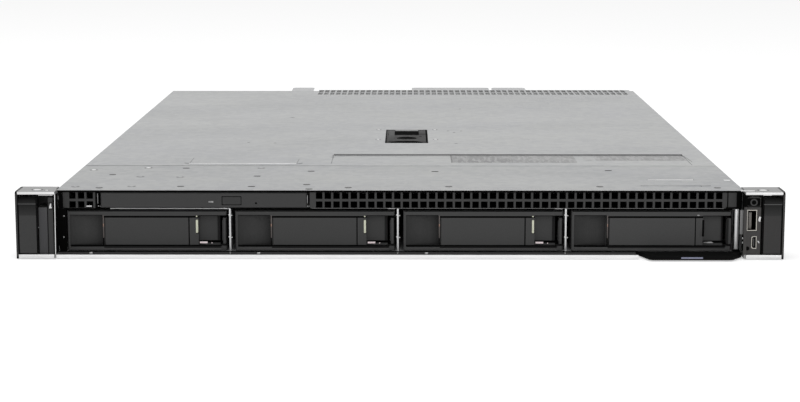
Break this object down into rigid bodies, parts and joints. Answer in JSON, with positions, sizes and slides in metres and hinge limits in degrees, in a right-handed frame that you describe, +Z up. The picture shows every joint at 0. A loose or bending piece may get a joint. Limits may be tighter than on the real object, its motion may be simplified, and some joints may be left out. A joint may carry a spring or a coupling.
{
  "type": "rack server",
  "caption": "Flat rack-mounted server with blanked drive bays, sliding top cover with lever latch, sprung rack ears and hot-plug supplies.",
  "frame": {"origin": "centre of the bounding box's base", "axes": "+X to the right seen from the front, +Y from front to rear, +Z up"},
  "size_m": [0.482, 0.664, 0.0428],
  "materials": {
    "cover_steel": "galvanised",
    "chassis_steel": "galvanised",
    "ear_metal": "satin",
    "ear_plastic": "fine grain",
    "grip_plastic": "fine grain",
    "blank_plastic": "fine grain",
    "bezel_plastic": "fine grain",
    "latch_plastic": "satin",
    "button_plastic": "satin",
    "lamp_plastic": "translucent white",
    "tag_plastic": "satin",
    "socket_metal": "plated",
    "screw_steel": "plated",
    "board_green": "solder mask",
    "chip_black": "moulded",
    "fin_aluminium": "extruded",
    "fan_plastic": "moulded",
    "shroud_plastic": "moulded",
    "supply_steel": "galvanised",
    "release_plastic": "satin terracotta"
  },
  "bodies": {
    "chassis": {"chassis_tub": "chassis_steel", "rear_wall": "chassis_steel", "front_top_plate": "cover_steel", "rail_studs": "screw_steel", "bay_cage": "chassis_steel", "front_grilles": "bezel_plastic", "optical_drive_body": "chassis_steel", "right_ear_bracket": "ear_metal", "left_ear_bracket": "ear_metal", "right_ear_panel": "ear_plastic", "left_ear_panel": "ear_plastic", "front_usb_socket": "socket_metal", "front_micro_socket": "socket_metal", "captive_screws": "screw_steel", "backplane": "board_green", "fan_housings": "fan_plastic", "air_shroud": "shroud_plastic", "main_board": "board_green", "board_parts": "chip_black", "processors": "fin_aluminium", "heat_sinks": "fin_aluminium", "memory_sockets": "chip_black", "memory_modules": "board_green", "riser_card": "board_green", "expansion_brackets": "chassis_steel", "network_sockets": "socket_metal", "rear_usb_sockets": "socket_metal", "shell_sockets": "socket_metal", "power_interposer": "board_green"},
    "top_cover": {"top_cover": "cover_steel", "latch_frame": "latch_plastic"},
    "cover_latch": {"cover_latch": "latch_plastic"},
    "latch_lock": {"latch_lock": "latch_plastic"},
    "optical_tray": {"optical_tray": "bezel_plastic"},
    "optical_eject_button": {"optical_eject_button": "button_plastic"},
    "power_button": {"power_button": "button_plastic"},
    "status_button": {"status_button": "button_plastic"},
    "right_slam_latch": {"right_slam_latch": "grip_plastic"},
    "left_slam_latch": {"left_slam_latch": "grip_plastic"},
    "information_tag": {"information_tag": "tag_plastic"},
    "drive_blank_1": {"drive_blank_1": "blank_plastic"},
    "blank_release_1": {"blank_release_1": "blank_plastic"},
    "drive_blank_2": {"drive_blank_2": "blank_plastic"},
    "blank_release_2": {"blank_release_2": "blank_plastic"},
    "drive_blank_3": {"drive_blank_3": "blank_plastic"},
    "blank_release_3": {"blank_release_3": "blank_plastic"},
    "drive_blank_4": {"drive_blank_4": "blank_plastic"},
    "blank_release_4": {"blank_release_4": "blank_plastic"},
    "fan_rotor_1": {"fan_rotor_1": "fan_plastic"},
    "fan_rotor_2": {"fan_rotor_2": "fan_plastic"},
    "fan_rotor_3": {"fan_rotor_3": "fan_plastic"},
    "fan_rotor_4": {"fan_rotor_4": "fan_plastic"},
    "fan_rotor_5": {"fan_rotor_5": "fan_plastic"},
    "fan_rotor_6": {"fan_rotor_6": "fan_plastic"},
    "power_supply_1": {"power_supply_1": "supply_steel"},
    "supply_release_1": {"supply_release_1": "release_plastic"},
    "power_supply_2": {"power_supply_2": "supply_steel"},
    "supply_release_2": {"supply_release_2": "release_plastic"}
  },
  "joints": [
    {"name": "cover_slide", "type": "slide", "parent": "chassis", "child": "top_cover", "axis": [0, 1, 0], "range_m": [0, 0.012]},
    {"name": "latch_lift", "type": "hinge", "parent": "top_cover", "child": "cover_latch", "pos_m": [0.0039, -0.00975, 0.0389], "axis": [-1, 0, 0], "range_deg": [0, 90]},
    {"name": "lock_turn", "type": "hinge", "parent": "cover_latch", "child": "latch_lock", "pos_m": [0.0039, -0.05675, 0.0389], "axis": [0, 0, 1], "range_deg": [0, 90]},
    {"name": "blank_slide_1", "type": "slide", "parent": "chassis", "child": "drive_blank_1", "axis": [0, -1, 0], "range_m": [0, 0.06]},
    {"name": "release_press_1", "type": "slide", "parent": "drive_blank_1", "child": "blank_release_1", "axis": [-1, 0, 0], "range_m": [0, 0.0015], "stiffness_N_per_m": 600},
    {"name": "blank_slide_2", "type": "slide", "parent": "chassis", "child": "drive_blank_2", "axis": [0, -1, 0], "range_m": [0, 0.06]},
    {"name": "release_press_2", "type": "slide", "parent": "drive_blank_2", "child": "blank_release_2", "axis": [-1, 0, 0], "range_m": [0, 0.0015], "stiffness_N_per_m": 600},
    {"name": "blank_slide_3", "type": "slide", "parent": "chassis", "child": "drive_blank_3", "axis": [0, -1, 0], "range_m": [0, 0.06]},
    {"name": "release_press_3", "type": "slide", "parent": "drive_blank_3", "child": "blank_release_3", "axis": [-1, 0, 0], "range_m": [0, 0.0015], "stiffness_N_per_m": 600},
    {"name": "blank_slide_4", "type": "slide", "parent": "chassis", "child": "drive_blank_4", "axis": [0, -1, 0], "range_m": [0, 0.06]},
    {"name": "release_press_4", "type": "slide", "parent": "drive_blank_4", "child": "blank_release_4", "axis": [-1, 0, 0], "range_m": [0, 0.0015], "stiffness_N_per_m": 600},
    {"name": "tray_slide", "type": "slide", "parent": "chassis", "child": "optical_tray", "axis": [0, -1, 0], "range_m": [0, 0.12]},
    {"name": "eject_press", "type": "slide", "parent": "optical_tray", "child": "optical_eject_button", "axis": [0, 1, 0], "range_m": [0, 0.0008], "stiffness_N_per_m": 600},
    {"name": "power_press", "type": "slide", "parent": "chassis", "child": "power_button", "axis": [0, 1, 0], "range_m": [0, 0.001], "stiffness_N_per_m": 600},
    {"name": "status_press", "type": "slide", "parent": "chassis", "child": "status_button", "axis": [0, 1, 0], "range_m": [0, 0.0008], "stiffness_N_per_m": 600},
    {"name": "right_slam_swing", "type": "hinge", "parent": "chassis", "child": "right_slam_latch", "pos_m": [0.2335, -0.32355, 0.0062], "axis": [1, 0, 0], "range_deg": [0, 15], "stiffness_Nm_per_rad": 0.4},
    {"name": "left_slam_swing", "type": "hinge", "parent": "chassis", "child": "left_slam_latch", "pos_m": [-0.2335, -0.32355, 0.0062], "axis": [1, 0, 0], "range_deg": [0, 15], "stiffness_Nm_per_rad": 0.4},
    {"name": "tag_slide", "type": "slide", "parent": "chassis", "child": "information_tag", "axis": [0, -1, 0], "range_m": [0, 0.06]},
    {"name": "fan_spin_1", "type": "hinge", "parent": "chassis", "child": "fan_rotor_1", "pos_m": [-0.165, -0.10755, 0.0203], "axis": [0, 1, 0], "continuous": true},
    {"name": "fan_spin_2", "type": "hinge", "parent": "chassis", "child": "fan_rotor_2", "pos_m": [-0.099, -0.10755, 0.0203], "axis": [0, 1, 0], "continuous": true},
    {"name": "fan_spin_3", "type": "hinge", "parent": "chassis", "child": "fan_rotor_3", "pos_m": [-0.033, -0.10755, 0.0203], "axis": [0, 1, 0], "continuous": true},
    {"name": "fan_spin_4", "type": "hinge", "parent": "chassis", "child": "fan_rotor_4", "pos_m": [0.033, -0.10755, 0.0203], "axis": [0, 1, 0], "continuous": true},
    {"name": "fan_spin_5", "type": "hinge", "parent": "chassis", "child": "fan_rotor_5", "pos_m": [0.099, -0.10755, 0.0203], "axis": [0, 1, 0], "continuous": true},
    {"name": "fan_spin_6", "type": "hinge", "parent": "chassis", "child": "fan_rotor_6", "pos_m": [0.165, -0.10755, 0.0203], "axis": [0, 1, 0], "continuous": true},
    {"name": "supply_slide_1", "type": "slide", "parent": "chassis", "child": "power_supply_1", "axis": [0, 1, 0], "range_m": [0, 0.12]},
    {"name": "supply_release_press_1", "type": "slide", "parent": "power_supply_1", "child": "supply_release_1", "axis": [-1, 0, 0], "range_m": [0, 0.002], "stiffness_N_per_m": 600},
    {"name": "supply_slide_2", "type": "slide", "parent": "chassis", "child": "power_supply_2", "axis": [0, 1, 0], "range_m": [0, 0.12]},
    {"name": "supply_release_press_2", "type": "slide", "parent": "power_supply_2", "child": "supply_release_2", "axis": [-1, 0, 0], "range_m": [0, 0.002], "stiffness_N_per_m": 600}
  ],
  "couplings": [
    {"joint": "latch_lift", "follows": "cover_slide", "rad_per_m": 130.9}
  ]
}
